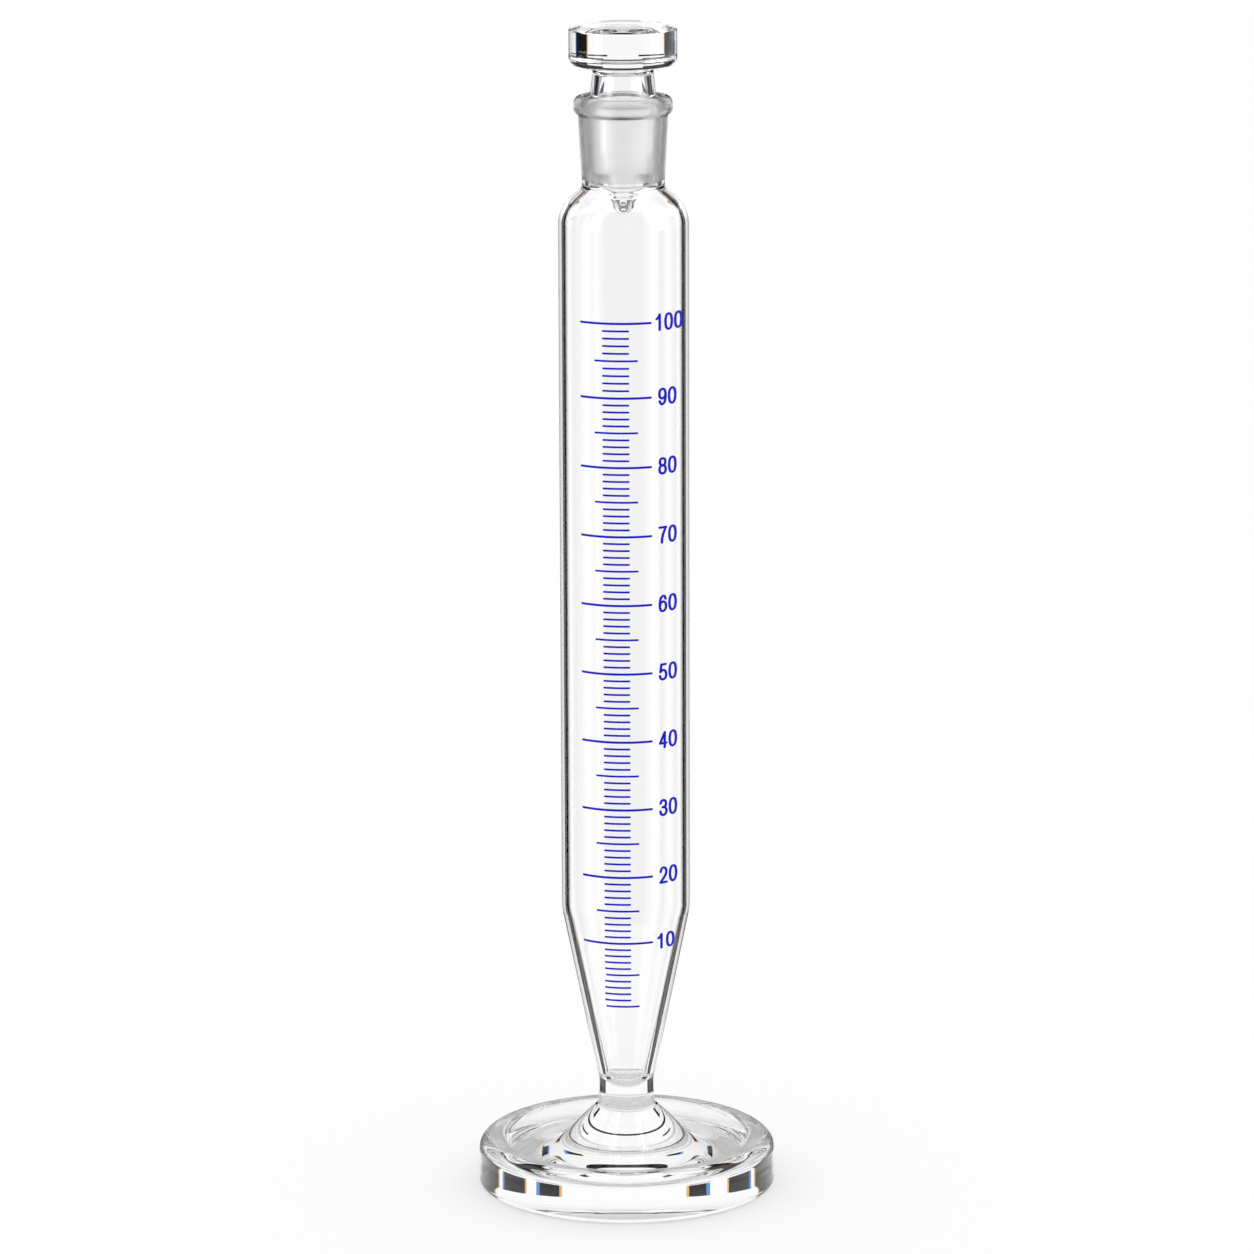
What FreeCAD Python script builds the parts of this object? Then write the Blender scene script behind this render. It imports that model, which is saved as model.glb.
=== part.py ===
import FreeCAD, Part
import math
import os
import Sketcher

# A conical measuring receiver for distillation tests, in millimetres.
# It is blown and fused as one piece of glass: a moulded foot, a stem, a measuring tube that ends
# below in a cone, a shoulder and a ground socket. A hollow ground stopper closes the socket.
# The origin is the centre of the foot's underside, +Z is up along the tube,
# and the scale faces -Y.

DIMENSIONS = (
    # Foot: a thick round plate with a raised rim and a dished top
    ("foot_diameter", 72.2),
    ("foot_height", 12.0),
    ("foot_edge_round", 1.4),
    ("rim_width", 6.2),
    ("rim_inner_slope", 1.8),
    ("rim_outer_round", 3.6),
    ("rim_inner_round", 1.8),
    ("dish_floor_height", 8.5),
    ("dish_floor_round", 3.0),
    # Bell and stem that carry the cone
    ("stem_diameter", 13.7),
    ("stem_bottom_height", 20.0),
    ("stem_round", 2.5),
    ("bell_slope_angle", 45.8),
    ("bell_base_share", 0.62),
    # Cone and measuring tube
    ("stem_top_height", 26.8),
    ("cone_top_height", 69.4),
    ("cone_bend_round", 14.0),
    ("bore_bottom_height", 24.3),
    ("bore_bottom_diameter", 8.0),
    ("bore_bottom_round", 5.8),
    ("bore_bottom_share", 0.97),
    ("tube_diameter", 31.0),
    ("tube_wall", 1.65),
    ("tube_length", 170.8),
    # Shoulder between the tube and the socket
    ("shoulder_rise", 5.1),
    ("shoulder_round", 9.0),
    ("shoulder_wall", 1.65),
    ("socket_bottom_round", 1.4),
    # Ground socket: 18.8 mm large end, one in ten taper on the diameter
    ("socket_length", 21.6),
    ("socket_large_end", 18.8),
    ("ground_taper", 0.1),
    ("socket_bottom_outside", 19.55),
    ("socket_top_outside", 21.4),
    ("socket_mouth_round", 0.6),
    ("bead_diameter", 23.5),
    ("bead_height", 4.6),
    ("bead_underside_rise", 1.0),
    ("bead_top_round", 1.8),
    ("bead_bottom_round", 1.2),
    # Stopper: solid head, waist, ground plug and drawn tip
    ("ground_clearance", 0.02),
    ("head_diameter", 25.6),
    ("head_gap", 7.0),
    ("head_side_height", 8.75),
    ("head_crown_height", 0.95),
    ("head_crown_diameter", 20.4),
    ("head_bottom_round", 2.2),
    ("head_top_round", 0.35),
    ("crown_round", 0.6),
    ("waist_top_diameter", 14.2),
    ("waist_bottom_diameter", 15.6),
    ("waist_round", 0.6),
    ("plug_drop", 0.6),
    ("plug_shoulder_rise", 0.7),
    ("plug_length", 20.2),
    ("plug_end_round", 0.9),
    ("drop_top_diameter", 10.8),
    ("drop_top_rise", 0.5),
    ("drop_length", 6.5),
    ("drop_end_diameter", 3.1),
    ("drop_round", 1.4),
    ("stopper_wall", 1.7),
    ("hollow_head_gap", 1.3),
    ("hollow_round", 1.0),
    ("hollow_base_thickness", 3.1),
    ("hollow_bottom_thickness", 3.2),
    ("hollow_bottom_diameter", 5.2),
    ("hollow_end_round", 2.3),
    # Fired-on scale: one line for each millilitre
    ("zero_mark_height", 47.0),
    ("mark_step", 1.667),
    ("top_mark_step", 1.783),
    ("line_height", 0.46),
    ("ten_line_height", 0.54),
    ("print_thickness", 0.08),
    ("ten_line_left", 11.2),
    ("ten_line_right", 6.7),
    ("five_line_left", 7.2),
    ("five_line_right", 3.25),
    ("one_line_left", 5.2),
    ("one_line_right", 1.2),
    ("worn_line_left", 4.9),
)

MARK_COUNT = 100
NARROW_TUBE_MARK = 90
WORN_MARKS = (0, 5)

doc = FreeCAD.newDocument("distillation_receiver")
sheet = doc.addObject("Spreadsheet::Sheet", "Sizes")
for row, (alias, number) in enumerate(DIMENSIONS, start=1):
    sheet.set(f"A{row}", alias)
    sheet.set(f"B{row}", str(number))
    sheet.setAlias(f"B{row}", alias)
doc.recompute()


class Length:
    """A length that keeps its number and the expression that binds it to the sheet."""

    def __init__(self, number, text):
        self.number = number
        self.text = text

    def join(self, other, sign, number):
        text = other.text if isinstance(other, Length) else repr(other)
        return Length(number, f"({self.text} {sign} {text})")

    def __add__(self, other):
        return self.join(other, "+", self.number + plain(other))

    def __sub__(self, other):
        return self.join(other, "-", self.number - plain(other))

    def __mul__(self, other):
        return self.join(other, "*", self.number * plain(other))

    def __truediv__(self, other):
        return self.join(other, "/", self.number / plain(other))


def plain(value):
    return value.number if isinstance(value, Length) else value


def size(alias):
    return Length(float(sheet.get(alias)), f"Sizes.{alias}")


def tangent_of(angle):
    return Length(math.tan(math.radians(angle.number)), f"tan({angle.text} * 1 deg)")


def root_of(value):
    return Length(math.sqrt(value.number), f"sqrt({value.text})")


def smaller_of(first, second):
    return Length(min(first.number, second.number), f"min({first.text}; {second.text})")


ON_AXIS = Length(0.0, "0")


def body_plane(body, role):
    for feature in body.Origin.OriginFeatures:
        if feature.Role == role:
            return feature


def add_profile(body, name, points):
    """A closed outline of straight sides in the XZ plane, each corner bound to the sheet."""
    sketch = body.newObject("Sketcher::SketchObject", name)
    sketch.AttachmentSupport = (body_plane(body, "XZ_Plane"), [""])
    sketch.MapMode = "FlatFace"
    count = len(points)
    corners = [FreeCAD.Vector(radius.number, height.number, 0) for radius, height in points]
    for index in range(count):
        sketch.addGeometry(Part.LineSegment(corners[index], corners[(index + 1) % count]), False)
    for index in range(count):
        sketch.addConstraint(Sketcher.Constraint("Coincident", index, 2, (index + 1) % count, 1))
    for index, (radius, height) in enumerate(points):
        for kind, value in (("DistanceX", radius), ("DistanceY", height)):
            row = sketch.addConstraint(Sketcher.Constraint(kind, -1, 1, index, 1, value.number))
            sketch.setExpression(f"Constraints[{row}]", value.text)
    return sketch


def add_turned(body, kind, name, sketch):
    """A full turn of an outline about the vertical axis, added or cut away."""
    turned = body.newObject(kind, name)
    turned.Profile = sketch
    turned.ReferenceAxis = (body_plane(body, "Z_Axis"), [""])
    turned.Angle = 360
    doc.recompute()
    return turned


def ring_edge(shape, corner):
    """The name of the circular edge that a corner of the outline made."""
    radius, height = (value.number for value in corner)
    for index, edge in enumerate(shape.Edges, start=1):
        curve = edge.Curve
        if not isinstance(curve, Part.Circle):
            continue
        if abs(curve.Radius - radius) < 0.001 and abs(curve.Center.z - height) < 0.001:
            return f"Edge{index}"
    raise RuntimeError(f"no edge at radius {radius:.2f}, height {height:.2f}")


def add_rounds(body, rounds):
    """Rounds the corners of the turned form, each with its own bound radius."""
    for name, corner, radius in rounds:
        base = body.Tip
        fillet = body.newObject("PartDesign::Fillet", name)
        fillet.Base = (base, [ring_edge(base.Shape, corner)])
        fillet.Radius = radius.number
        fillet.setExpression("Radius", radius.text)
        doc.recompute()
        if fillet.Shape.isNull():
            raise RuntimeError(f"{name} does not fit its corner")


# Places that the receiver, the stopper and the scale share

tube_radius = size("tube_diameter") / 2
bore_radius = tube_radius - size("tube_wall")
stem_radius = size("stem_diameter") / 2
cone_height = size("cone_top_height") - size("stem_top_height")
cone_slope = (tube_radius - stem_radius) / cone_height
socket_radius = size("socket_large_end") / 2
half_taper = size("ground_taper") / 2
shoulder_bottom = size("cone_top_height") + size("tube_length")
socket_bottom = shoulder_bottom + size("shoulder_rise")
socket_top = socket_bottom + size("socket_length")


def socket_radius_at(height):
    return socket_radius - (socket_top - height) * half_taper


# Receiver: foot, stem, cone, tube, shoulder and socket, one piece of glass


def make_receiver():
    body = doc.addObject("PartDesign::Body", "Receiver")
    body.Label = "receiver"

    foot_radius = size("foot_diameter") / 2
    foot_top = size("foot_height")
    floor = size("dish_floor_height")
    rim_inside = foot_radius - size("rim_width")
    floor_edge = rim_inside - size("rim_inner_slope")
    stem_bottom = size("stem_bottom_height")
    bell_spread = (stem_bottom - floor) * tangent_of(size("bell_slope_angle"))
    bell_base = stem_radius + bell_spread
    half_bell_turn = (ON_AXIS + 90 - size("bell_slope_angle")) / 2
    bell_base_round = (floor_edge - bell_base) * size("bell_base_share") / tangent_of(half_bell_turn)
    outside_bottom = size("socket_bottom_outside") / 2
    outside_top = size("socket_top_outside") / 2
    bead_radius = size("bead_diameter") / 2
    bead_bottom = socket_top - size("bead_height")
    bead_side_bottom = bead_bottom + size("bead_underside_rise")

    foot_corner = (foot_radius, ON_AXIS)
    rim_corner = (foot_radius, foot_top)
    rim_inner_corner = (rim_inside, foot_top)
    floor_corner = (floor_edge, floor)
    bell_corner = (bell_base, floor)
    stem_corner = (stem_radius, stem_bottom)
    cone_bottom_corner = (stem_radius, size("stem_top_height"))
    cone_top_corner = (tube_radius, size("cone_top_height"))
    shoulder_corner = (tube_radius, shoulder_bottom)
    socket_corner = (outside_bottom, socket_bottom)
    bead_root = (outside_top, bead_bottom)
    bead_low_corner = (bead_radius, bead_side_bottom)
    bead_top_corner = (bead_radius, socket_top)
    outside = (
        (ON_AXIS, ON_AXIS), foot_corner, rim_corner, rim_inner_corner, floor_corner, bell_corner,
        stem_corner, cone_bottom_corner, cone_top_corner, shoulder_corner, socket_corner,
        bead_root, bead_low_corner, bead_top_corner, (ON_AXIS, socket_top),
    )
    add_turned(body, "PartDesign::Revolution", "GlassOutside", add_profile(body, "OutsideOutline", outside))

    # The bore follows the outside, and the wall of the cone grows thicker downwards
    bore_bottom = size("bore_bottom_height")
    bore_bottom_radius = size("bore_bottom_diameter") / 2
    bore_slope = (bore_radius - bore_bottom_radius) / (size("cone_top_height") - bore_bottom)
    shoulder_run = tube_radius - outside_bottom
    shoulder_slope = size("shoulder_rise") / shoulder_run
    shoulder_wall_down = size("shoulder_wall") * root_of(shoulder_slope * shoulder_slope + 1)
    inner_shoulder_bottom = shoulder_bottom - shoulder_wall_down + size("tube_wall") * shoulder_slope
    neck_drop = (tube_radius - socket_radius_at(socket_bottom)) * shoulder_slope
    neck_bottom = shoulder_bottom - shoulder_wall_down + neck_drop

    bore_bottom_corner = (bore_bottom_radius, bore_bottom)
    bore_bend_corner = (bore_radius, size("cone_top_height"))
    inner_shoulder_corner = (bore_radius, inner_shoulder_bottom)
    neck_corner = (socket_radius_at(neck_bottom), neck_bottom)
    mouth_corner = (socket_radius, socket_top)
    bore = (
        (ON_AXIS, bore_bottom), bore_bottom_corner, bore_bend_corner, inner_shoulder_corner,
        neck_corner, mouth_corner, (ON_AXIS, socket_top),
    )
    add_turned(body, "PartDesign::Groove", "Bore", add_profile(body, "BoreOutline", bore))

    # The ball end of the bore takes no more than the flat bottom has room for
    steepness = Length(math.degrees(math.atan(bore_slope.number)), f"atan({bore_slope.text}) / 1 deg")
    room_for_round = bore_bottom_radius * tangent_of((ON_AXIS + 90 + steepness) / 2)
    bottom_round = smaller_of(size("bore_bottom_round"), room_for_round * size("bore_bottom_share"))
    add_rounds(body, (
        ("FootEdgeRound", foot_corner, size("foot_edge_round")),
        ("RimOuterRound", rim_corner, size("rim_outer_round")),
        ("RimInnerRound", rim_inner_corner, size("rim_inner_round")),
        ("DishFloorRound", floor_corner, size("dish_floor_round")),
        ("BellBaseRound", bell_corner, bell_base_round),
        ("StemRound", stem_corner, size("stem_round")),
        ("ConeBendRound", cone_top_corner, size("cone_bend_round")),
        ("ShoulderRound", shoulder_corner, size("shoulder_round")),
        ("SocketBottomRound", socket_corner, size("socket_bottom_round")),
        ("BeadBottomRound", bead_low_corner, size("bead_bottom_round")),
        ("BeadTopRound", bead_top_corner, size("bead_top_round")),
        ("BoreBottomRound", bore_bottom_corner, bottom_round),
        ("BoreBendRound", bore_bend_corner, size("cone_bend_round") - size("tube_wall")),
        ("InnerShoulderRound", inner_shoulder_corner, size("shoulder_round") - size("shoulder_wall")),
        ("NeckRound", neck_corner, size("socket_bottom_round")),
        ("MouthRound", mouth_corner, size("socket_mouth_round")),
    ))
    return body


# Stopper: a hollow glass stopper whose plug is ground to the socket's taper


def make_stopper():
    body = doc.addObject("PartDesign::Body", "Stopper")
    body.Label = "stopper"

    plug_top = socket_top - size("plug_drop")
    plug_bottom = plug_top - size("plug_length")
    waist_bottom = plug_top + size("plug_shoulder_rise")
    head_bottom = socket_top + size("head_gap")
    head_side_top = head_bottom + size("head_side_height")
    head_top = head_side_top + size("head_crown_height")
    drop_top = plug_bottom - size("drop_top_rise")
    drop_bottom = drop_top - size("drop_length")
    head_radius = size("head_diameter") / 2
    waist_top_radius = size("waist_top_diameter") / 2
    waist_bottom_radius = size("waist_bottom_diameter") / 2

    def plug_radius_at(height):
        return socket_radius_at(height) - size("ground_clearance")

    drop_top_radius = size("drop_top_diameter") / 2
    drop_end_radius = size("drop_end_diameter") / 2
    crown_corner = (size("head_crown_diameter") / 2, head_top)
    head_top_corner = (head_radius, head_side_top)
    head_low_corner = (head_radius, head_bottom)
    waist_top_corner = (waist_top_radius, head_bottom)
    waist_low_corner = (waist_bottom_radius, waist_bottom)
    plug_top_corner = (plug_radius_at(plug_top), plug_top)
    plug_low_corner = (plug_radius_at(plug_bottom), plug_bottom)
    drop_top_corner = (drop_top_radius, drop_top)
    drop_end_corner = (drop_end_radius, drop_bottom)
    outside = (
        (ON_AXIS, head_top), crown_corner, head_top_corner, head_low_corner, waist_top_corner,
        waist_low_corner, plug_top_corner, plug_low_corner, drop_top_corner, drop_end_corner,
        (ON_AXIS, drop_bottom),
    )
    add_turned(body, "PartDesign::Revolution", "StopperOutside", add_profile(body, "StopperOutline", outside))

    # The sealed hollow runs from just under the head to the thick drawn tip
    wall = size("stopper_wall")
    hollow_top = head_bottom - size("hollow_head_gap")
    hollow_shoulder = plug_top - wall
    hollow_low = plug_bottom + size("hollow_base_thickness")
    hollow_bottom = drop_bottom + size("hollow_bottom_thickness")
    hollow_top_corner = (waist_top_radius - wall, hollow_top)
    hollow_waist_corner = (waist_bottom_radius - wall, waist_bottom)
    hollow_shoulder_corner = (plug_radius_at(hollow_shoulder) - wall, hollow_shoulder)
    hollow_low_corner = (plug_radius_at(hollow_low) - wall, hollow_low)
    hollow_end_corner = (size("hollow_bottom_diameter") / 2, hollow_bottom)
    hollow = (
        (ON_AXIS, hollow_top), hollow_top_corner, hollow_waist_corner, hollow_shoulder_corner,
        hollow_low_corner, hollow_end_corner, (ON_AXIS, hollow_bottom),
    )
    add_turned(body, "PartDesign::Groove", "Hollow", add_profile(body, "HollowOutline", hollow))

    add_rounds(body, (
        ("CrownRound", crown_corner, size("crown_round")),
        ("HeadTopRound", head_top_corner, size("head_top_round")),
        ("HeadBottomRound", head_low_corner, size("head_bottom_round")),
        ("WaistTopRound", waist_top_corner, size("waist_round")),
        ("WaistBottomRound", waist_low_corner, size("waist_round")),
        ("PlugTopRound", plug_top_corner, size("waist_round") / 2),
        ("PlugEndRound", plug_low_corner, size("plug_end_round")),
        ("DropTopRound", drop_top_corner, size("drop_round")),
        ("DropEndRound", drop_end_corner, size("drop_round")),
        ("HollowTopRound", hollow_top_corner, size("hollow_round")),
        ("HollowShoulderRound", hollow_shoulder_corner, size("hollow_round") / 2),
        ("HollowLowRound", hollow_low_corner, size("hollow_round")),
        ("HollowEndRound", hollow_end_corner, size("hollow_end_round")),
    ))
    return body


# Fired-on scale: thin lines that wrap the cone and the tube in front


def glass_radius_at(height):
    """The outside radius of the cone, its rounded bend or the tube at a height."""
    bend_height = plain(size("cone_top_height"))
    lean = math.atan(cone_slope.number)
    bend_round = plain(size("cone_bend_round"))
    reach = bend_round * math.tan(lean / 2)
    arc_top = bend_height + reach
    if height >= arc_top:
        return tube_radius.number
    if height <= bend_height - reach * math.cos(lean):
        return tube_radius.number - (bend_height - height) * cone_slope.number
    drop = arc_top - height
    return tube_radius.number - bend_round + math.sqrt(bend_round ** 2 - drop ** 2)


def mark_height(mark):
    low_marks = min(mark, NARROW_TUBE_MARK)
    high_marks = mark - low_marks
    low_rise = low_marks * plain(size("mark_step"))
    return plain(size("zero_mark_height")) + low_rise + high_marks * plain(size("top_mark_step"))


def mark_reach(mark):
    """How far a line runs to the left and to the right of the front, along the glass."""
    if mark in WORN_MARKS:
        return "worn_line_left", "five_line_right"
    if mark % 10 == 0:
        return "ten_line_left", "ten_line_right"
    if mark % 5 == 0:
        return "five_line_left", "five_line_right"
    return "one_line_left", "one_line_right"


def mark_line(mark):
    full_ten = mark % 10 == 0 and mark not in WORN_MARKS
    half_line = plain(size("ten_line_height" if full_ten else "line_height")) / 2
    low = mark_height(mark) - half_line
    high = low + 2 * half_line
    layer = plain(size("print_thickness"))
    left, right = (plain(size(alias)) for alias in mark_reach(mark))
    low_radius = glass_radius_at(low)
    high_radius = glass_radius_at(high)
    section = Part.Face(Part.makePolygon([
        FreeCAD.Vector(low_radius, 0, low),
        FreeCAD.Vector(low_radius + layer, 0, low),
        FreeCAD.Vector(high_radius + layer, 0, high),
        FreeCAD.Vector(high_radius, 0, high),
        FreeCAD.Vector(low_radius, 0, low),
    ]))
    degrees_per_length = math.degrees(2 / (low_radius + high_radius))
    start = -90 - left * degrees_per_length
    origin = FreeCAD.Vector(0, 0, 0)
    upward = FreeCAD.Vector(0, 0, 1)
    section.rotate(origin, upward, start)
    return section.revolve(origin, upward, (left + right) * degrees_per_length)


def make_scale():
    scale = doc.addObject("Part::Feature", "Scale")
    scale.Label = "graduation_marks"
    scale.Shape = Part.makeCompound([mark_line(mark) for mark in range(MARK_COUNT + 1)])
    scale.Placement = FreeCAD.Placement()
    return scale


def check_and_write(parts):
    doc.recompute()
    for item in doc.Objects:
        if "Invalid" in item.State or "Error" in item.State:
            raise RuntimeError(f"{item.Label} failed: {item.State}")
    for part in parts:
        shape = part.Shape
        if shape.isNull() or not shape.isValid():
            raise RuntimeError(f"{part.Label} has no valid shape")
    os.makedirs("parts", exist_ok=True)
    for part in parts:
        part.Shape.exportStep(os.path.join("parts", f"{part.Label}.step"))
        print(f"{part.Label}: {len(part.Shape.Solids)} solids, {part.Shape.Volume:.1f} mm3")


check_and_write([make_receiver(), make_stopper(), make_scale()])
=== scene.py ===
import math

import bpy
from mathutils import Matrix, Vector


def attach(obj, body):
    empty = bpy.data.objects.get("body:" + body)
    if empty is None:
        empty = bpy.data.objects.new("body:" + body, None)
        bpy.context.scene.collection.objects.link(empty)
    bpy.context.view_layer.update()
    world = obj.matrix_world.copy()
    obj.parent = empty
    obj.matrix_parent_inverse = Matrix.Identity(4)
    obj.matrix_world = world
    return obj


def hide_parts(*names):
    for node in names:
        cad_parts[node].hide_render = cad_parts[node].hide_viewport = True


# The glass is spun here from the same sizes as the solids, with finer rounds and exact normals, so
# that light bends in it as it does in blown glass. Sizes are in millimetres until a mesh is made.

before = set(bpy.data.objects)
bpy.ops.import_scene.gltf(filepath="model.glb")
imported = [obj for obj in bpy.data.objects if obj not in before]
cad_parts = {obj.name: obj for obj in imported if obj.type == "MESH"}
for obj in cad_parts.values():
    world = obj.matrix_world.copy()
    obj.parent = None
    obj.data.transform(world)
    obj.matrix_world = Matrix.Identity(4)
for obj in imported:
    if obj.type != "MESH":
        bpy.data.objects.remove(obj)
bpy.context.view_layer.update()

MM = 0.001
SPIN_SIDES = 256
ARC_STEP = math.radians(5)
LONGEST_SIDE = 8.0
SAME_POINT = 1e-6
ON_AXIS = 1e-9
SMALL_ROUND = 0.15

CLEAR = 0
GROUND = 1

# Foot, bell and stem
FOOT_RADIUS = 36.1
FOOT_HEIGHT = 12.0
FOOT_EDGE_ROUND = 1.4
RIM_WIDTH = 6.2
RIM_INNER_SLOPE = 1.8
RIM_OUTER_ROUND = 3.6
RIM_INNER_ROUND = 1.8
DISH_FLOOR = 8.5
DISH_FLOOR_ROUND = 3.0
BELL_SLOPE_ANGLE = 45.8
BELL_BASE_ROUND = 14.4
STEM_RADIUS = 6.85
STEM_BOTTOM = 20.0
STEM_BOTTOM_ROUND = 2.5
STEM_TOP = 26.8
STEM_TOP_ROUND = 1.0

# Cone and measuring tube
CONE_TOP = 69.4
CONE_BEND_ROUND = 14.0
BORE_BOTTOM = 24.3
BORE_BOTTOM_RADIUS = 4.0
BORE_BOTTOM_ROUND = 4.7
TUBE_RADIUS = 15.5
TUBE_WALL = 1.65
BORE_RADIUS = TUBE_RADIUS - TUBE_WALL

# Shoulder, ground socket and bead
SHOULDER_BOTTOM = 240.2
SHOULDER_ROUND = 9.0
SHOULDER_WALL = 1.65
NECK_ROUND = 0.9
SOCKET_BOTTOM = 245.3
SOCKET_BOTTOM_ROUND = 1.4
SOCKET_TOP = 266.9
SOCKET_RADIUS = 9.4
HALF_TAPER = 0.05
SOCKET_BOTTOM_OUTSIDE = 9.775
SOCKET_TOP_OUTSIDE = 10.7
SOCKET_MOUTH_ROUND = 0.6
BEAD_RADIUS = 11.75
BEAD_HEIGHT = 4.6
BEAD_UNDERSIDE_RISE = 1.0
BEAD_BOTTOM_ROUND = 1.2
BEAD_TOP_ROUND = 1.8
GROUND_LOW = 247.0
GROUND_HIGH = 266.3

# Stopper: ground plug
CLEARANCE = 0.02
PLUG_DROP = 0.6
PLUG_LENGTH = 20.2
PLUG_SHOULDER_RISE = 0.7
PLUG_SHOULDER_ROUND = 0.3
PLUG_END_ROUND = 0.9
PLUG_TOP = SOCKET_TOP - PLUG_DROP
PLUG_BOTTOM = PLUG_TOP - PLUG_LENGTH

# Stopper: waist and head
WAIST_BOTTOM = PLUG_TOP + PLUG_SHOULDER_RISE
WAIST_TOP_RADIUS = 7.1
WAIST_BOTTOM_RADIUS = 7.8
WAIST_ROUND = 0.6
HEAD_GAP = 7.0
HEAD_SIDE_HEIGHT = 8.75
HEAD_CROWN_HEIGHT = 0.95
HEAD_BOTTOM = SOCKET_TOP + HEAD_GAP
HEAD_SIDE_TOP = HEAD_BOTTOM + HEAD_SIDE_HEIGHT
HEAD_TOP = HEAD_SIDE_TOP + HEAD_CROWN_HEIGHT
HEAD_RADIUS = 12.8
HEAD_BOTTOM_ROUND = 2.2
HEAD_TOP_ROUND = 0.35
CROWN_RADIUS = 10.2
CROWN_ROUND = 0.6

# Stopper: drawn drop below the plug
DROP_TOP_RISE = 0.5
DROP_LENGTH = 6.5
DROP_TOP = PLUG_BOTTOM - DROP_TOP_RISE
DROP_BOTTOM = DROP_TOP - DROP_LENGTH
DROP_TOP_RADIUS = 5.4
DROP_END_RADIUS = 1.55
DROP_ROUND = 1.4

# Stopper: sealed hollow
STOPPER_WALL = 1.7
HOLLOW_HEAD_GAP = 1.3
HOLLOW_BASE_THICKNESS = 3.1
HOLLOW_BOTTOM_THICKNESS = 3.2
HOLLOW_TOP = HEAD_BOTTOM - HOLLOW_HEAD_GAP
HOLLOW_SHOULDER = PLUG_TOP - STOPPER_WALL
HOLLOW_LOW = PLUG_BOTTOM + HOLLOW_BASE_THICKNESS
HOLLOW_BOTTOM = DROP_BOTTOM + HOLLOW_BOTTOM_THICKNESS
HOLLOW_BOTTOM_RADIUS = 2.6
HOLLOW_ROUND = 1.0
HOLLOW_SHOULDER_ROUND = 0.5
HOLLOW_END_ROUND = 2.3


def socket_radius_at(height):
    return SOCKET_RADIUS - (SOCKET_TOP - height) * HALF_TAPER


def plug_radius_at(height):
    return socket_radius_at(height) - CLEARANCE


# Spun glass: outlines with rounded corners, turned about the axis


def side_stations(start, end, normal, finish):
    """Stations along a straight side, both ends included, no longer apart than LONGEST_SIDE."""
    steps = max(1, math.ceil((end - start).length / LONGEST_SIDE))
    return [(start.lerp(end, step / steps), normal, finish) for step in range(steps + 1)]


def outline_stations(painted_shade_occlusion):
    """Stations (point, normal, finish) along an outline that runs from the axis to the axis.

    A corner is (radius, height, round, finish of the side that follows). The glass lies to the
    left of the way the outline runs.
    """
    points = [Vector(corner[:2]) for corner in painted_shade_occlusion]
    stations = []
    side_start = points[0]
    for index in range(1, len(points)):
        before, corner = points[index - 1], points[index]
        along = (corner - before).normalized()
        normal = Vector((along.y, -along.x))
        finish = painted_shade_occlusion[index - 1][3]
        corner_round = painted_shade_occlusion[index][2]
        if index == len(points) - 1 or corner_round == 0:
            stations += side_stations(side_start, corner, normal, finish)
            side_start = corner
            continue
        onward = (points[index + 1] - corner).normalized()
        turn = along.x * onward.y - along.y * onward.x
        half_turn = math.atan2(abs(turn), along.dot(onward)) / 2
        reach = corner_round * math.tan(half_turn)
        arc_start = corner - along * reach
        stations += side_stations(side_start, arc_start, normal, finish)
        outward = 1 if turn > 0 else -1
        centre = arc_start - normal * outward * corner_round
        steps = max(3, math.ceil(2 * half_turn / ARC_STEP))
        for step in range(1, steps):
            angle = outward * 2 * half_turn * step / steps
            turned = Matrix.Rotation(angle, 2) @ normal
            stations.append((centre + turned * outward * corner_round, turned, finish))
        side_start = corner + onward * reach
    return stations


def add_spun_surface(mesh_parts, painted_shade_occlusion):
    """Adds the surface of one outline to the lists of vertices, normals, faces and finishes."""
    vertices, normals, faces, finishes = mesh_parts
    rings = []
    last_point = None
    for point, normal, finish in outline_stations(painted_shade_occlusion):
        if last_point is not None and (point - last_point).length < SAME_POINT:
            rings[-1] = (rings[-1][0], finish)
            continue
        last_point = point
        first = len(vertices)
        if point.x < ON_AXIS:
            vertices.append(Vector((0, 0, point.y)) * MM)
            normals.append(Vector((0, 0, 1 if normal.y > 0 else -1)))
            rings.append(([first] * SPIN_SIDES, finish))
            continue
        for side in range(SPIN_SIDES):
            angle = math.tau * side / SPIN_SIDES
            cosine, sine = math.cos(angle), math.sin(angle)
            vertices.append(Vector((point.x * cosine, point.x * sine, point.y)) * MM)
            normals.append(Vector((normal.x * cosine, normal.x * sine, normal.y)))
        rings.append((list(range(first, first + SPIN_SIDES)), finish))
    for (low_ring, finish), (high_ring, _) in zip(rings, rings[1:]):
        for side in range(SPIN_SIDES):
            after = (side + 1) % SPIN_SIDES
            face = (low_ring[side], low_ring[after], high_ring[after], high_ring[side])
            faces.append(tuple(dict.fromkeys(face)))
            finishes.append(finish)


def make_glass(name, outlines, materials):
    mesh_parts = ([], [], [], [])
    for painted_shade_occlusion in outlines:
        add_spun_surface(mesh_parts, painted_shade_occlusion)
    vertices, normals, faces, finishes = mesh_parts
    mesh = bpy.data.meshes.new(name)
    mesh.from_pydata(vertices, [], faces)
    for material in materials:
        mesh.materials.append(material)
    mesh.polygons.foreach_set("material_index", finishes)
    mesh.polygons.foreach_set("use_smooth", [True] * len(faces))
    mesh.normals_split_custom_set_from_vertices(normals)
    mesh.update()
    piece = bpy.data.objects.new(name, mesh)
    bpy.context.scene.collection.objects.link(piece)
    return piece


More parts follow.
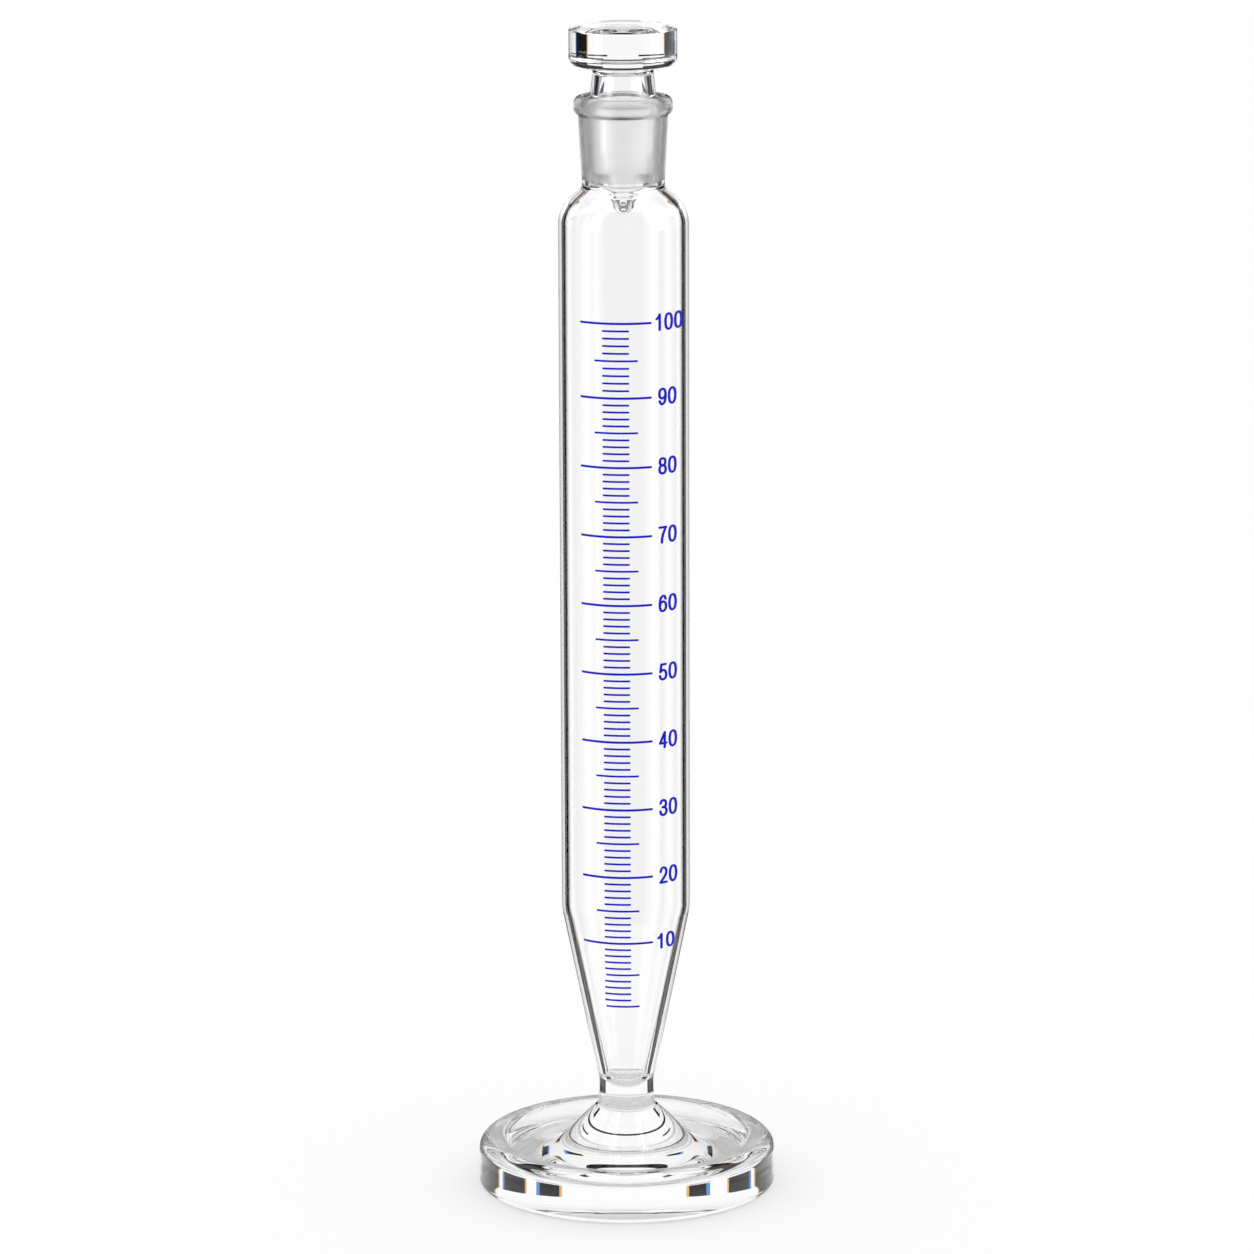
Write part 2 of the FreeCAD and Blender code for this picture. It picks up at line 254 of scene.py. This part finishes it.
def receiver_outline():
    rim_inside = FOOT_RADIUS - RIM_WIDTH
    bell_base = STEM_RADIUS + (STEM_BOTTOM - DISH_FLOOR) * math.tan(math.radians(BELL_SLOPE_ANGLE))
    shoulder_slope = (SOCKET_BOTTOM - SHOULDER_BOTTOM) / (TUBE_RADIUS - SOCKET_BOTTOM_OUTSIDE)
    wall_down = SHOULDER_WALL * math.hypot(shoulder_slope, 1)
    inner_shoulder = SHOULDER_BOTTOM - wall_down + TUBE_WALL * shoulder_slope
    neck = SHOULDER_BOTTOM - wall_down + (TUBE_RADIUS - socket_radius_at(SOCKET_BOTTOM)) * shoulder_slope
    bead_bottom = SOCKET_TOP - BEAD_HEIGHT
    return (
        (0, 0, 0, CLEAR),
        (FOOT_RADIUS, 0, FOOT_EDGE_ROUND, CLEAR),
        (FOOT_RADIUS, FOOT_HEIGHT, RIM_OUTER_ROUND, CLEAR),
        (rim_inside, FOOT_HEIGHT, RIM_INNER_ROUND, CLEAR),
        (rim_inside - RIM_INNER_SLOPE, DISH_FLOOR, DISH_FLOOR_ROUND, CLEAR),
        (bell_base, DISH_FLOOR, BELL_BASE_ROUND, CLEAR),
        (STEM_RADIUS, STEM_BOTTOM, STEM_BOTTOM_ROUND, CLEAR),
        (STEM_RADIUS, STEM_TOP, STEM_TOP_ROUND, CLEAR),
        (TUBE_RADIUS, CONE_TOP, CONE_BEND_ROUND, CLEAR),
        (TUBE_RADIUS, SHOULDER_BOTTOM, SHOULDER_ROUND, CLEAR),
        (SOCKET_BOTTOM_OUTSIDE, SOCKET_BOTTOM, SOCKET_BOTTOM_ROUND, CLEAR),
        (SOCKET_TOP_OUTSIDE, bead_bottom, SMALL_ROUND, CLEAR),
        (BEAD_RADIUS, bead_bottom + BEAD_UNDERSIDE_RISE, BEAD_BOTTOM_ROUND, CLEAR),
        (BEAD_RADIUS, SOCKET_TOP, BEAD_TOP_ROUND, CLEAR),
        (SOCKET_RADIUS, SOCKET_TOP, SOCKET_MOUTH_ROUND, CLEAR),
        (socket_radius_at(GROUND_HIGH), GROUND_HIGH, 0, GROUND),
        (socket_radius_at(GROUND_LOW), GROUND_LOW, 0, CLEAR),
        (socket_radius_at(neck), neck, NECK_ROUND, CLEAR),
        (BORE_RADIUS, inner_shoulder, SHOULDER_ROUND - SHOULDER_WALL, CLEAR),
        (BORE_RADIUS, CONE_TOP, CONE_BEND_ROUND - TUBE_WALL, CLEAR),
        (BORE_BOTTOM_RADIUS, BORE_BOTTOM, BORE_BOTTOM_ROUND, CLEAR),
        (0, BORE_BOTTOM, 0, CLEAR),
    )


def stopper_outlines():
    outside = (
        (0, DROP_BOTTOM, 0, CLEAR),
        (DROP_END_RADIUS, DROP_BOTTOM, DROP_ROUND, CLEAR),
        (DROP_TOP_RADIUS, DROP_TOP, DROP_ROUND, CLEAR),
        (plug_radius_at(PLUG_BOTTOM), PLUG_BOTTOM, PLUG_END_ROUND, CLEAR),
        (plug_radius_at(GROUND_LOW), GROUND_LOW, 0, GROUND),
        (plug_radius_at(PLUG_TOP), PLUG_TOP, PLUG_SHOULDER_ROUND, CLEAR),
        (WAIST_BOTTOM_RADIUS, WAIST_BOTTOM, WAIST_ROUND, CLEAR),
        (WAIST_TOP_RADIUS, HEAD_BOTTOM, WAIST_ROUND, CLEAR),
        (HEAD_RADIUS, HEAD_BOTTOM, HEAD_BOTTOM_ROUND, CLEAR),
        (HEAD_RADIUS, HEAD_SIDE_TOP, HEAD_TOP_ROUND, CLEAR),
        (CROWN_RADIUS, HEAD_TOP, CROWN_ROUND, CLEAR),
        (0, HEAD_TOP, 0, CLEAR),
    )
    hollow = (
        (0, HOLLOW_TOP, 0, CLEAR),
        (WAIST_TOP_RADIUS - STOPPER_WALL, HOLLOW_TOP, HOLLOW_ROUND, CLEAR),
        (WAIST_BOTTOM_RADIUS - STOPPER_WALL, WAIST_BOTTOM, SMALL_ROUND, CLEAR),
        (plug_radius_at(HOLLOW_SHOULDER) - STOPPER_WALL, HOLLOW_SHOULDER, HOLLOW_SHOULDER_ROUND, CLEAR),
        (plug_radius_at(HOLLOW_LOW) - STOPPER_WALL, HOLLOW_LOW, HOLLOW_ROUND, CLEAR),
        (HOLLOW_BOTTOM_RADIUS, HOLLOW_BOTTOM, HOLLOW_END_ROUND, CLEAR),
        (0, HOLLOW_BOTTOM, 0, CLEAR),
    )
    return outside, hollow


# Materials

GLASS_IOR = 1.473
GROUND_ROUGHNESS = 0.35
ENAMEL_BLUE = (0.001, 0.001, 0.53, 1)
ENAMEL_ROUGHNESS = 0.35
ENAMEL_IOR = 1.5
ENAMEL_SPECULAR = 0.15


def make_material(name):
    material = bpy.data.materials.new(name)
    material.use_nodes = True
    return material, material.node_tree.nodes, material.node_tree.links


def glass(name, roughness):
    material, nodes, _ = make_material(name)
    shader = nodes["Principled BSDF"]
    shader.inputs["Base Color"].default_value = (1, 1, 1, 1)
    shader.inputs["Roughness"].default_value = roughness
    shader.inputs["IOR"].default_value = GLASS_IOR
    shader.inputs["Transmission Weight"].default_value = 1
    return material


def blue_enamel():
    material, nodes, _ = make_material("blue_enamel")
    shader = nodes["Principled BSDF"]
    shader.inputs["Base Color"].default_value = ENAMEL_BLUE
    shader.inputs["Roughness"].default_value = ENAMEL_ROUGHNESS
    shader.inputs["IOR"].default_value = ENAMEL_IOR
    shader.inputs["Specular IOR Level"].default_value = ENAMEL_SPECULAR
    return material


# Numerals of the scale: rounded strokes of fired enamel that lie on the glass

NUMERAL_HEIGHT = 3.65
DIGIT_WIDTH = 1.5
DIGIT_PITCH = 2.3
STROKE_WIDTH = 0.58
ENAMEL_OUT = 0.08
ENAMEL_IN = 0.01
NUMERAL_START = 8.3
HUNDRED_START = 7.5
TEN_START = 7.6
ZERO_MARK_HEIGHT = 47.0
MARK_STEP = 1.667
TOP_MARK_STEP = 1.783
NARROW_TUBE_MARK = 90
STROKE_STEP = 0.12
CAP_STEPS = 6
CAP_END_SHARE = 0.05

# Strokes of each digit in a box one wide and one high; a closed stroke repeats its first point
DIGIT_STROKES = {
    "0": [[(0.5, 1), (0.86, 0.88), (1, 0.5), (0.86, 0.12), (0.5, 0), (0.14, 0.12), (0, 0.5),
           (0.14, 0.88), (0.5, 1)]],
    "1": [[(0.14, 0.72), (0.4, 0.82), (0.62, 1)], [(0.62, 1), (0.62, 0)]],
    "2": [[(0.04, 0.72), (0.18, 0.93), (0.5, 1), (0.84, 0.92), (0.95, 0.7), (0.8, 0.47),
           (0.35, 0.2), (0.02, 0)], [(0.02, 0), (1, 0)]],
    "3": [[(0.05, 0.8), (0.2, 0.95), (0.5, 1), (0.82, 0.93), (0.92, 0.75), (0.8, 0.58),
           (0.42, 0.53)],
          [(0.42, 0.53), (0.82, 0.48), (1, 0.27), (0.85, 0.07), (0.5, 0), (0.16, 0.07),
           (0.02, 0.26)]],
    "4": [[(0.74, 0), (0.74, 1)], [(0.74, 1), (0, 0.28)], [(0, 0.28), (1, 0.28)]],
    "5": [[(0.9, 1), (0.22, 1)], [(0.22, 1), (0.08, 0.5)],
          [(0.08, 0.5), (0.45, 0.62), (0.85, 0.54), (1, 0.31), (0.85, 0.08), (0.48, 0),
           (0.14, 0.07), (0, 0.24)]],
    "6": [[(0.93, 0.8), (0.78, 0.96), (0.48, 1), (0.14, 0.84), (0, 0.4), (0.14, 0.09), (0.5, 0),
           (0.86, 0.09), (1, 0.32), (0.86, 0.55), (0.5, 0.63), (0.14, 0.52), (0.02, 0.38)]],
    "7": [[(0, 1), (1, 1)], [(1, 1), (0.62, 0.62), (0.42, 0.3), (0.36, 0)]],
    "8": [[(0.5, 1), (0.83, 0.93), (0.93, 0.76), (0.82, 0.59), (0.5, 0.53), (0.18, 0.59),
           (0.07, 0.76), (0.17, 0.93), (0.5, 1)],
          [(0.5, 0.53), (0.86, 0.46), (1, 0.27), (0.86, 0.07), (0.5, 0), (0.14, 0.07), (0, 0.27),
           (0.14, 0.46), (0.5, 0.53)]],
    "9": [[(0.07, 0.2), (0.22, 0.04), (0.52, 0), (0.86, 0.16), (1, 0.6), (0.86, 0.91), (0.5, 1),
           (0.14, 0.91), (0, 0.68), (0.14, 0.45), (0.5, 0.37), (0.86, 0.48), (0.98, 0.62)]],
}


def glass_radius_at(height):
    """The outside radius of the cone, its rounded bend or the tube at a height."""
    slope = (TUBE_RADIUS - STEM_RADIUS) / (CONE_TOP - STEM_TOP)
    lean = math.atan(slope)
    reach = CONE_BEND_ROUND * math.tan(lean / 2)
    arc_top = CONE_TOP + reach
    if height >= arc_top:
        return TUBE_RADIUS
    if height <= CONE_TOP - reach * math.cos(lean):
        return TUBE_RADIUS - (CONE_TOP - height) * slope
    return TUBE_RADIUS - CONE_BEND_ROUND + math.sqrt(CONE_BEND_ROUND ** 2 - (arc_top - height) ** 2)


def mark_height(mark):
    low_marks = min(mark, NARROW_TUBE_MARK)
    return ZERO_MARK_HEIGHT + low_marks * MARK_STEP + (mark - low_marks) * TOP_MARK_STEP


def on_glass(across, height, depth):
    """A point of the glass that stands across millimetres right of its middle, seen from the front."""
    radius = glass_radius_at(height)
    angle = math.asin(across / radius) - math.pi / 2
    radius += depth
    return Vector((radius * math.cos(angle), radius * math.sin(angle), height)) * MM


def smooth_path(points):
    """Points at even steps on a smooth curve through the given ones."""
    if len(points) == 2:
        points = [points[0], points[0].lerp(points[1], 0.5), points[1]]
    closed = (points[0] - points[-1]).length < SAME_POINT
    before = points[-2] if closed else points[0] * 2 - points[1]
    after = points[1] if closed else points[-1] * 2 - points[-2]
    ends = [before] + points + [after]
    path = []
    for index in range(1, len(ends) - 2):
        a, b, c, d = ends[index - 1:index + 3]
        steps = max(2, math.ceil((c - b).length / STROKE_STEP))
        for step in range(steps):
            t = step / steps
            path.append(0.5 * (2 * b + (c - a) * t + (2 * a - 5 * b + 4 * c - d) * t ** 2
                               + (3 * b - a - 3 * c + d) * t ** 3))
    path.append(points[-1])
    return path, closed


def stroke_sections(path, closed):
    """Left and right edge points along a stroke, narrowing to a round cap at an open end."""
    half = STROKE_WIDTH / 2
    sections = []
    count = len(path)
    for index, point in enumerate(path):
        if closed:
            along = path[(index + 1) % (count - 1)] - path[(index - 1) % (count - 1)]
        else:
            along = path[min(index + 1, count - 1)] - path[max(index - 1, 0)]
        along.normalize()
        side = Vector((-along.y, along.x))
        if not closed and index == 0:
            for step in range(CAP_STEPS):
                angle = math.pi / 2 * (1 - step / CAP_STEPS)
                middle = point - along * half * math.sin(angle)
                reach = side * half * max(math.cos(angle), CAP_END_SHARE)
                sections.append((middle + reach, middle - reach))
        sections.append((point + side * half, point - side * half))
        if not closed and index == count - 1:
            for step in range(1, CAP_STEPS + 1):
                angle = math.pi / 2 * step / CAP_STEPS
                middle = point + along * half * math.sin(angle)
                reach = side * half * max(math.cos(angle), CAP_END_SHARE)
                sections.append((middle + reach, middle - reach))
    return sections


def add_stroke(vertices, faces, points):
    sections = stroke_sections(*smooth_path(points))
    first = len(vertices)
    for left, right in sections:
        for edge in (left, right):
            for depth in (ENAMEL_OUT, -ENAMEL_IN):
                vertices.append(on_glass(edge.x, edge.y, depth))
    last = first + 4 * (len(sections) - 1)
    for low in range(first, last, 4):
        high = low + 4
        faces.append((low, low + 2, high + 2, high))
        faces.append((low + 1, high + 1, high + 3, low + 3))
        faces.append((low, high, high + 1, low + 1))
        faces.append((low + 2, low + 3, high + 3, high + 2))
    faces.append((first, first + 1, first + 3, first + 2))
    faces.append((last, last + 2, last + 3, last + 1))


def make_numerals(material):
    vertices, faces = [], []
    for mark in range(10, 101, 10):
        low = mark_height(mark) - NUMERAL_HEIGHT / 2
        start = {100: HUNDRED_START, 10: TEN_START}.get(mark, NUMERAL_START)
        for place, digit in enumerate(str(mark)):
            for stroke in DIGIT_STROKES[digit]:
                points = [
                    Vector((start + place * DIGIT_PITCH + x * DIGIT_WIDTH, low + y * NUMERAL_HEIGHT))
                    for x, y in stroke
                ]
                add_stroke(vertices, faces, points)
    mesh = bpy.data.meshes.new("numerals")
    mesh.from_pydata(vertices, [], faces)
    mesh.materials.append(material)
    piece = bpy.data.objects.new("numerals", mesh)
    bpy.context.scene.collection.objects.link(piece)
    return piece


glass_finishes = (glass("clear_glass", 0), glass("ground_glass", GROUND_ROUGHNESS))
receiver = make_glass("receiver_glass", [receiver_outline()], glass_finishes)
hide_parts("receiver")
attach(receiver, "receiver")

stopper = make_glass("stopper_glass", stopper_outlines(), glass_finishes)
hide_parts("stopper")
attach(stopper, "stopper")

enamel = blue_enamel()
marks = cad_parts["graduation_marks"]
marks.data.materials.clear()
marks.data.materials.append(enamel)

numerals = make_numerals(enamel)
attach(numerals, "receiver")

# Camera

FOCAL_PIXELS = 6000
FRAME_PIXELS = 1254
SENSOR_WIDTH = 36
CAMERA_PITCH = math.radians(12.2)
CAMERA_ROLL = math.radians(-0.2)
CAMERA_DISTANCE = 1442.3
CAMERA_AIM = Vector((0.5, 0, 138.6))

camera_data = bpy.data.cameras.new("camera")
camera_data.sensor_width = SENSOR_WIDTH
camera_data.lens = FOCAL_PIXELS / FRAME_PIXELS * SENSOR_WIDTH
camera = bpy.data.objects.new("camera", camera_data)
bpy.context.scene.collection.objects.link(camera)
bpy.context.scene.camera = camera
view_direction = Vector((0, math.cos(CAMERA_PITCH), -math.sin(CAMERA_PITCH)))
level_look = Matrix.Rotation(math.pi / 2 - CAMERA_PITCH, 4, "X")
camera.matrix_world = (
    Matrix.Translation((CAMERA_AIM - view_direction * CAMERA_DISTANCE) * MM)
    @ level_look @ Matrix.Rotation(CAMERA_ROLL, 4, "Z")
)

# Studio: white surroundings, and a tent of cards round the glass that only its reflections and
# refractions show. The tent turns with the camera, as a photographer sets it for each view. Dark
# cards give the glass its dark lines, and narrow tinted ones beside them the coloured fringes.

WHITE = (1, 1, 1)
BLUE = (0.12, 0.4, 1)
ORANGE = (1, 0.55, 0.2)
CARD_STEP_ANGLE = 4


def plain_light(name, brightness, tint):
    material, nodes, links = make_material(name)
    nodes.clear()
    emission = nodes.new("ShaderNodeEmission")
    emission.inputs["Color"].default_value = (*tint, 1)
    emission.inputs["Strength"].default_value = brightness
    output = nodes.new("ShaderNodeOutputMaterial")
    links.new(emission.outputs["Emission"], output.inputs["Surface"])
    return material


turntable = bpy.data.objects.new("turntable", None)
bpy.context.scene.collection.objects.link(turntable)
facing = turntable.constraints.new("LOCKED_TRACK")
facing.target = camera
facing.track_axis = "TRACK_NEGATIVE_Y"
facing.lock_axis = "LOCK_Z"


def add_card(name, rings, brightness, glossy_only=False, tint=WHITE):
    """A card bent round the object on the turntable.

    Each ring is the angles in degrees where it starts and ends, from straight behind the object
    and positive to the right, its radius and its height in millimetres.
    """
    steps = max(2, math.ceil(abs(rings[0][1] - rings[0][0]) / CARD_STEP_ANGLE))
    vertices = []
    for start, end, radius, height in rings:
        for step in range(steps + 1):
            angle = math.radians(start + (end - start) * step / steps)
            place = Vector((radius * math.sin(angle), radius * math.cos(angle), height))
            vertices.append(place * MM)
    row = steps + 1
    faces = [
        (ring * row + step, ring * row + step + 1, (ring + 1) * row + step + 1, (ring + 1) * row + step)
        for ring in range(len(rings) - 1) for step in range(steps)
    ]
    mesh = bpy.data.meshes.new(name)
    mesh.from_pydata(vertices, [], faces)
    mesh.materials.append(plain_light(name, brightness, tint))
    card = bpy.data.objects.new(name, mesh)
    bpy.context.scene.collection.objects.link(card)
    card.parent = turntable
    card.visible_camera = False
    card.visible_diffuse = False
    card.visible_shadow = False
    card.visible_transmission = not glossy_only
    return card


# The tent's radius, and the heights where its cards meet
TENT_RADIUS = 110
FOOT_CARD_TOP = 38
LOW_TOP = 231
WAIST_CARD_BOTTOM = 256
HEAD_CARD_BOTTOM = 262
OUTLINE_CARD_TOP = 284
EDGE_CARD_BOTTOM = 288
TOP_CARD_BOTTOM = 302
TENT_TOP = 420
FLOOR_CARD_HEIGHT = 0.4
FLOOR_CARD_EDGE = 56

# Cards farther back than the tent
FAR_WAIST_RADIUS = 250
FAR_WAIST_LOW = 257
FAR_WAIST_HIGH = 278
HIGH_CARD_RADIUS = 740
HIGH_CARD_LOW = 450
HIGH_CARD_HIGH = 520
LEVEL_CARD_HEIGHT = 240
LEVEL_CARD_INNER = 678
LEVEL_CARD_OUTER = 868
LEVEL_ORANGE_WIDTH = 0.8
LEVEL_BLUE_WIDTH = 1.3

BLACK = 0.0
SCREEN_GREY = 0.2
FRINGE_GLOW = 0.8


def both_sides(inner, outer):
    """The side's name and the angles where a card starts and ends, on the left and on the right."""
    return ("left", -outer, -inner), ("right", inner, outer)


def add_tent_card(name, start, end, low, high, brightness, glossy_only=False, tint=WHITE):
    rings = [(start, end, TENT_RADIUS, low), (start, end, TENT_RADIUS, high)]
    return add_card(name, rings, brightness, glossy_only, tint)


def add_foot_card(name, start, end, high, brightness):
    """A card that lies on the floor from the foot to the tent, and stands up there."""
    rings = [
        (start, end, FLOOR_CARD_EDGE, FLOOR_CARD_HEIGHT),
        (start, end, TENT_RADIUS, FLOOR_CARD_HEIGHT),
        (start, end, TENT_RADIUS, high),
    ]
    return add_card(name, rings, brightness)


def add_level_cards(name, side, inner, outer):
    """Level cards far behind, which only what looks up through the foot can see.

    A dark one from the inner to the outer angle, with an orange one beside its inner edge and a
    blue one beside its outer edge. The side is -1 on the left and 1 on the right.
    """
    for part, near, far, brightness, tint in (
        ("card", inner, outer, BLACK, WHITE),
        ("orange", inner - LEVEL_ORANGE_WIDTH, inner, FRINGE_GLOW, ORANGE),
        ("blue", outer, outer + LEVEL_BLUE_WIDTH, 0.7, BLUE),
    ):
        start, end = sorted((near * side, far * side))
        rings = [
            (start, end, LEVEL_CARD_INNER, LEVEL_CARD_HEIGHT),
            (start, end, LEVEL_CARD_OUTER, LEVEL_CARD_HEIGHT),
        ]
        add_card(f"{name}_level_{part}", rings, brightness, tint=tint)


# Foot and the walls of the tube
for side, start, end in both_sides(33, 60):
    add_foot_card(f"{side}_edge_card", start, end, WAIST_CARD_BOTTOM, BLACK)
for side, start, end in both_sides(32, 33):
    add_tent_card(f"{side}_edge_orange", start, end, 0, FOOT_CARD_TOP, FRINGE_GLOW, tint=ORANGE)
for side, start, end in both_sides(2, 48):
    add_tent_card(f"{side}_outline_card", start, end, 0, OUTLINE_CARD_TOP, BLACK, glossy_only=True)
add_level_cards("left", -1, 15.8, 21.3)
add_level_cards("right", 1, 17.4, 24.1)
add_level_cards("left_outer", -1, 30.3, 42.4)
add_level_cards("right_outer", 1, 30.3, 42.4)
add_card("high_card", [
    (-50, 50, HIGH_CARD_RADIUS, HIGH_CARD_LOW),
    (-50, 50, HIGH_CARD_RADIUS, HIGH_CARD_HIGH),
], BLACK)

# Ground socket and plug
add_tent_card("back_ground_card", -14, 14, LOW_TOP, WAIST_CARD_BOTTOM, 1.15)
for side, start, end in both_sides(14, 33):
    add_tent_card(f"{side}_ground_card", start, end, LOW_TOP, WAIST_CARD_BOTTOM, 1.35)
for side, start, end in both_sides(60, 80):
    add_tent_card(f"{side}_side_ground_card", start, end, LOW_TOP, WAIST_CARD_BOTTOM, 1.35)

# Waist and head of the stopper
for side, start, end in both_sides(15, 58):
    add_tent_card(f"{side}_waist_card", start, end, WAIST_CARD_BOTTOM, HEAD_CARD_BOTTOM, BLACK)
for side, start, end in both_sides(10, 60):
    add_card(f"{side}_far_waist_card", [
        (start, end, FAR_WAIST_RADIUS, FAR_WAIST_LOW),
        (start, end, FAR_WAIST_RADIUS, FAR_WAIST_HIGH),
    ], BLACK)
for name, start, end, brightness, tint in (
    ("left_head_card", -56, -32, 0.02, WHITE),
    ("left_head_blue", -58, -56, FRINGE_GLOW, BLUE),
    ("left_head_orange", -32, -31, FRINGE_GLOW, ORANGE),
    ("right_head_card", 25, 41, BLACK, WHITE),
    ("right_head_blue", 41, 42.5, FRINGE_GLOW, BLUE),
    ("right_head_orange", 23.8, 25, FRINGE_GLOW, ORANGE),
):
    add_tent_card(name, start, end, HEAD_CARD_BOTTOM, EDGE_CARD_BOTTOM, brightness, tint=tint)
for side, start, end in both_sides(12, 58):
    add_tent_card(f"{side}_head_edge_card", start, end, EDGE_CARD_BOTTOM, TOP_CARD_BOTTOM, BLACK)
add_tent_card("back_top_card", -70, 70, TOP_CARD_BOTTOM, TENT_TOP, BLACK)
add_tent_card("left_head_screen", -104, -60, WAIST_CARD_BOTTOM, TENT_TOP, BLACK, glossy_only=True)

# Screens and softboxes, which the outsides of the glass reflect
add_tent_card("front_screen", 136, 224, 0, TENT_TOP, SCREEN_GREY)
add_tent_card("left_side_screen", -102, -88, 0, TENT_TOP, SCREEN_GREY)
add_tent_card("right_side_screen", 104, 117, 0, TENT_TOP, SCREEN_GREY)
add_tent_card("left_softbox", -136, -102, 0, LOW_TOP, 1.1)
add_tent_card("right_softbox", 117, 136, 0, LOW_TOP, 1.05)
add_tent_card("right_far_softbox", 82, 104, 0, LOW_TOP, 1.1)
add_tent_card("left_top_softbox", -140, -120, LOW_TOP, TENT_TOP, 4.5)
add_tent_card("right_top_softbox", 100, 124, LOW_TOP, TENT_TOP, 4.5)


# White floor. Ambient occlusion darkens its glow near the foot, which is painted shade; its diffuse
# share takes the real shadow.

FLOOR_HALF = 4000
FLOOR_GAP = 0.1
FLOOR_WHITE = 0.99
SHADE_REACH = 0.03
SHADE_SAMPLES = 16
DARKEST_SHADE = 0.8
DIFFUSE_SHARE = 0.4


def floor_material():
    material, nodes, links = make_material("floor")
    nodes.clear()
    diffuse = nodes.new("ShaderNodeBsdfDiffuse")
    diffuse.inputs["Color"].default_value = (FLOOR_WHITE, FLOOR_WHITE, FLOOR_WHITE, 1)
    # Ambient occlusion scales the floor's glow down near the foot: a painted shadow, not light from a
    # lamp
    painted_shade_occlusion = nodes.new("ShaderNodeAmbientOcclusion")
    painted_shade_occlusion.samples = SHADE_SAMPLES
    painted_shade_occlusion.inputs["Distance"].default_value = SHADE_REACH
    shade = nodes.new("ShaderNodeMapRange")
    shade.inputs["To Min"].default_value = DARKEST_SHADE
    shade.inputs["To Max"].default_value = 1
    links.new(painted_shade_occlusion.outputs["AO"], shade.inputs["Value"])
    glow = nodes.new("ShaderNodeEmission")
    links.new(shade.outputs["Result"], glow.inputs["Strength"])
    glow.inputs["Color"].default_value = (1, 1, 1, 1)
    blend = nodes.new("ShaderNodeMixShader")
    blend.inputs["Fac"].default_value = DIFFUSE_SHARE
    links.new(glow.outputs["Emission"], blend.inputs[1])
    links.new(diffuse.outputs["BSDF"], blend.inputs[2])
    output = nodes.new("ShaderNodeOutputMaterial")
    links.new(blend.outputs["Shader"], output.inputs["Surface"])
    return material


floor_mesh = bpy.data.meshes.new("floor")
floor_mesh.from_pydata(
    [Vector((x, y, -FLOOR_GAP)) * MM for x, y in (
        (-FLOOR_HALF, -FLOOR_HALF), (FLOOR_HALF, -FLOOR_HALF),
        (FLOOR_HALF, FLOOR_HALF), (-FLOOR_HALF, FLOOR_HALF))],
    [], [(0, 1, 2, 3)],
)
floor_mesh.materials.append(floor_material())
floor = bpy.data.objects.new("floor", floor_mesh)
bpy.context.scene.collection.objects.link(floor)

world = bpy.data.worlds.new("studio")
bpy.context.scene.world = world
world.use_nodes = True
world.node_tree.nodes["Background"].inputs["Color"].default_value = (1, 1, 1, 1)
world.node_tree.nodes["Background"].inputs["Strength"].default_value = 1

scene = bpy.context.scene
scene.view_settings.view_transform = "Standard"
scene.cycles.max_bounces = 32
scene.cycles.transmission_bounces = 32
scene.cycles.glossy_bounces = 16
scene.cycles.use_denoising = True
